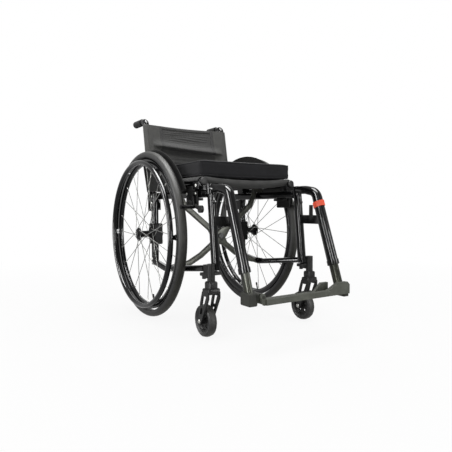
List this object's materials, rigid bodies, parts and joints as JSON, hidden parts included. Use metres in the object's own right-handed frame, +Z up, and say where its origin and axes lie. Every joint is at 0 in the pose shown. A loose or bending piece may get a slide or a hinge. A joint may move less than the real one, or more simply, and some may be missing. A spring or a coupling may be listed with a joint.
{
  "type": "folding active wheelchair",
  "caption": "Folding self-propelled wheelchair with quick release wheels, swing-away hangers, a flip-up footplate, a cushion, a sling back and wheel brakes.",
  "frame": {"origin": "on the floor, at the middle of the whole chair's length and width", "axes": "+Z up, the occupant looks along -Y, and +X is the occupant's left"},
  "size_m": [0.5436, 0.903, 0.7546],
  "materials": {
    "tyre_rubber": "matt dark grey moulded rubber",
    "black_alloy": "gloss black coating",
    "spoke_steel": "satin drawn wire",
    "bright_steel": "bright turned steel",
    "grey_alloy": "satin grey anodised",
    "black_plastic": "fine moulded grain",
    "olive_plate": "olive grey moulded plate",
    "orange_sleeve": "smooth orange red",
    "cushion_cloth": "black knitted cover",
    "sling_cloth": "charcoal woven nylon",
    "grip_rubber": "soft black foam rubber"
  },
  "bodies": {
    "frame_right": {"rear_post_right": "black_alloy", "top_rail_right": "black_alloy", "lower_rail_right": "black_alloy", "front_post_right": "black_alloy", "caster_housing_right": "black_plastic", "axle_plate_right": "black_alloy", "side_guard_right": "black_plastic", "back_tube_right": "black_alloy", "push_grip_right": "grip_rubber", "brake_body_right": "black_alloy", "wheel_axle_right": "bright_steel", "backrest_sling": "sling_cloth"},
    "frame_left": {"rear_post_left": "black_alloy", "top_rail_left": "black_alloy", "lower_rail_left": "black_alloy", "front_post_left": "black_alloy", "caster_housing_left": "black_plastic", "axle_plate_left": "black_alloy", "side_guard_left": "black_plastic", "back_tube_left": "black_alloy", "push_grip_left": "grip_rubber", "brake_body_left": "black_alloy", "wheel_axle_left": "bright_steel"},
    "front_brace_arm": {"brace_arm_front": "grey_alloy", "brace_bolt": "bright_steel"},
    "rear_brace_arm": {"brace_arm_rear": "grey_alloy"},
    "right_seat_rail": {"seat_rail_right": "black_alloy", "seat_sling": "sling_cloth", "cushion": "cushion_cloth"},
    "left_seat_rail": {"seat_rail_left": "black_alloy"},
    "right_wheel": {"tyre_right": "tyre_rubber", "wheel_rim_right": "black_alloy", "wheel_hub_right": "spoke_steel", "handrim_right": "black_alloy"},
    "left_wheel": {"tyre_left": "tyre_rubber", "wheel_rim_left": "black_alloy", "wheel_hub_left": "spoke_steel", "handrim_left": "black_alloy"},
    "right_axle_button": {"axle_button_right": "bright_steel"},
    "left_axle_button": {"axle_button_left": "bright_steel"},
    "right_caster_fork": {"caster_fork_right": "grey_alloy"},
    "left_caster_fork": {"caster_fork_left": "grey_alloy"},
    "right_caster_wheel": {"caster_wheel_right": "black_plastic", "caster_tyre_right": "tyre_rubber"},
    "left_caster_wheel": {"caster_wheel_left": "black_plastic", "caster_tyre_left": "tyre_rubber"},
    "right_hanger": {"hanger_tube_right": "black_alloy", "extension_tube_right": "grey_alloy", "footplate_clamp": "olive_plate"},
    "left_hanger": {"hanger_tube_left": "black_alloy", "extension_tube_left": "grey_alloy", "hanger_sleeve_left": "orange_sleeve"},
    "right_latch_lever": {"latch_lever_right": "black_plastic"},
    "left_latch_lever": {"latch_lever_left": "black_plastic"},
    "footplate_plate": {"footplate": "olive_plate"},
    "right_brake_lever": {"brake_lever_right": "black_plastic"},
    "left_brake_lever": {"brake_lever_left": "black_plastic"},
    "right_brake_shoe": {"brake_shoe_right": "black_alloy"},
    "left_brake_shoe": {"brake_shoe_left": "black_alloy"}
  },
  "joints": [
    {"name": "fold", "type": "hinge", "parent": "frame_right", "child": "front_brace_arm", "pos_m": [-0.18, 0.0195, 0.19], "axis": [0, -1, 0], "range_deg": [0, 36], "deforming": ["seat_sling", "cushion", "backrest_sling"]},
    {"name": "brace_centre", "type": "hinge", "parent": "front_brace_arm", "child": "rear_brace_arm", "pos_m": [0, 0.0195, 0.294], "axis": [0, -1, 0], "range_deg": [-72, 0]},
    {"name": "left_brace_foot", "type": "hinge", "parent": "rear_brace_arm", "child": "frame_left", "pos_m": [0.18, 0.0195, 0.19], "axis": [0, -1, 0], "range_deg": [0, 36]},
    {"name": "right_seat_rail_turn", "type": "hinge", "parent": "rear_brace_arm", "child": "right_seat_rail", "pos_m": [-0.18, 0.0195, 0.481], "axis": [0, -1, 0], "range_deg": [0, 36]},
    {"name": "left_seat_rail_turn", "type": "hinge", "parent": "front_brace_arm", "child": "left_seat_rail", "pos_m": [0.18, 0.0195, 0.481], "axis": [0, -1, 0], "range_deg": [-36, 0]},
    {"name": "footplate_flip", "type": "hinge", "parent": "right_hanger", "child": "footplate_plate", "pos_m": [-0.1485, -0.3835, 0.152], "axis": [0, -1, 0], "range_deg": [0, 90]},
    {"name": "right_hanger_swing", "type": "hinge", "parent": "frame_right", "child": "right_hanger", "pos_m": [-0.176, -0.221, 0.4395], "axis": [0, -0.0997, -0.995], "range_deg": [0, 90]},
    {"name": "left_hanger_swing", "type": "hinge", "parent": "frame_left", "child": "left_hanger", "pos_m": [0.176, -0.221, 0.4395], "axis": [0, 0.0997, 0.995], "range_deg": [0, 90]},
    {"name": "right_latch_release", "type": "hinge", "parent": "right_hanger", "child": "right_latch_lever", "pos_m": [-0.174, -0.2905, 0.365], "axis": [-1, 0, 0], "range_deg": [0, 25], "stiffness_Nm_per_rad": 0.3},
    {"name": "left_latch_release", "type": "hinge", "parent": "left_hanger", "child": "left_latch_lever", "pos_m": [0.174, -0.2905, 0.365], "axis": [-1, 0, 0], "range_deg": [0, 25], "stiffness_Nm_per_rad": 0.3},
    {"name": "right_wheel_spin", "type": "hinge", "parent": "frame_right", "child": "right_wheel", "pos_m": [-0.233, 0.1495, 0.302], "axis": [1, 0, 0], "continuous": true},
    {"name": "left_wheel_spin", "type": "hinge", "parent": "frame_left", "child": "left_wheel", "pos_m": [0.233, 0.1495, 0.302], "axis": [1, 0, 0], "continuous": true},
    {"name": "right_axle_button_press", "type": "slide", "parent": "frame_right", "child": "right_axle_button", "axis": [1, 0, 0], "range_m": [0, 0.003], "stiffness_N_per_m": 300},
    {"name": "left_axle_button_press", "type": "slide", "parent": "frame_left", "child": "left_axle_button", "axis": [-1, 0, 0], "range_m": [0, 0.003], "stiffness_N_per_m": 300},
    {"name": "right_caster_swivel", "type": "hinge", "parent": "frame_right", "child": "right_caster_fork", "pos_m": [-0.2, -0.2555, 0.196], "axis": [0, 0, 1], "continuous": true},
    {"name": "left_caster_swivel", "type": "hinge", "parent": "frame_left", "child": "left_caster_fork", "pos_m": [0.2, -0.2555, 0.196], "axis": [0, 0, 1], "continuous": true},
    {"name": "right_caster_spin", "type": "hinge", "parent": "right_caster_fork", "child": "right_caster_wheel", "pos_m": [-0.2, -0.2215, 0.05], "axis": [1, 0, 0], "continuous": true},
    {"name": "left_caster_spin", "type": "hinge", "parent": "left_caster_fork", "child": "left_caster_wheel", "pos_m": [0.2, -0.2215, 0.05], "axis": [1, 0, 0], "continuous": true},
    {"name": "right_brake", "type": "hinge", "parent": "frame_right", "child": "right_brake_lever", "pos_m": [-0.1961, -0.1185, 0.414], "axis": [1, 0, 0], "range_deg": [0, 60]},
    {"name": "left_brake", "type": "hinge", "parent": "frame_left", "child": "left_brake_lever", "pos_m": [0.1961, -0.1185, 0.414], "axis": [1, 0, 0], "range_deg": [0, 60]},
    {"name": "right_brake_shoe_turn", "type": "hinge", "parent": "frame_right", "child": "right_brake_shoe", "pos_m": [-0.2024, -0.1505, 0.438], "axis": [1, 0, 0], "range_deg": [0, 21]},
    {"name": "left_brake_shoe_turn", "type": "hinge", "parent": "frame_left", "child": "left_brake_shoe", "pos_m": [0.2024, -0.1505, 0.438], "axis": [1, 0, 0], "range_deg": [0, 21]}
  ],
  "couplings": [
    {"joint": "brace_centre", "follows": "fold", "ratio": -2},
    {"joint": "left_brace_foot", "follows": "fold", "ratio": 1},
    {"joint": "right_seat_rail_turn", "follows": "fold", "ratio": 1},
    {"joint": "left_seat_rail_turn", "follows": "fold", "ratio": -1},
    {"joint": "footplate_flip", "follows": "fold", "ratio": 2.5},
    {"joint": "right_brake_shoe_turn", "follows": "right_brake", "ratio": 0.35},
    {"joint": "left_brake_shoe_turn", "follows": "left_brake", "ratio": 0.35}
  ]
}
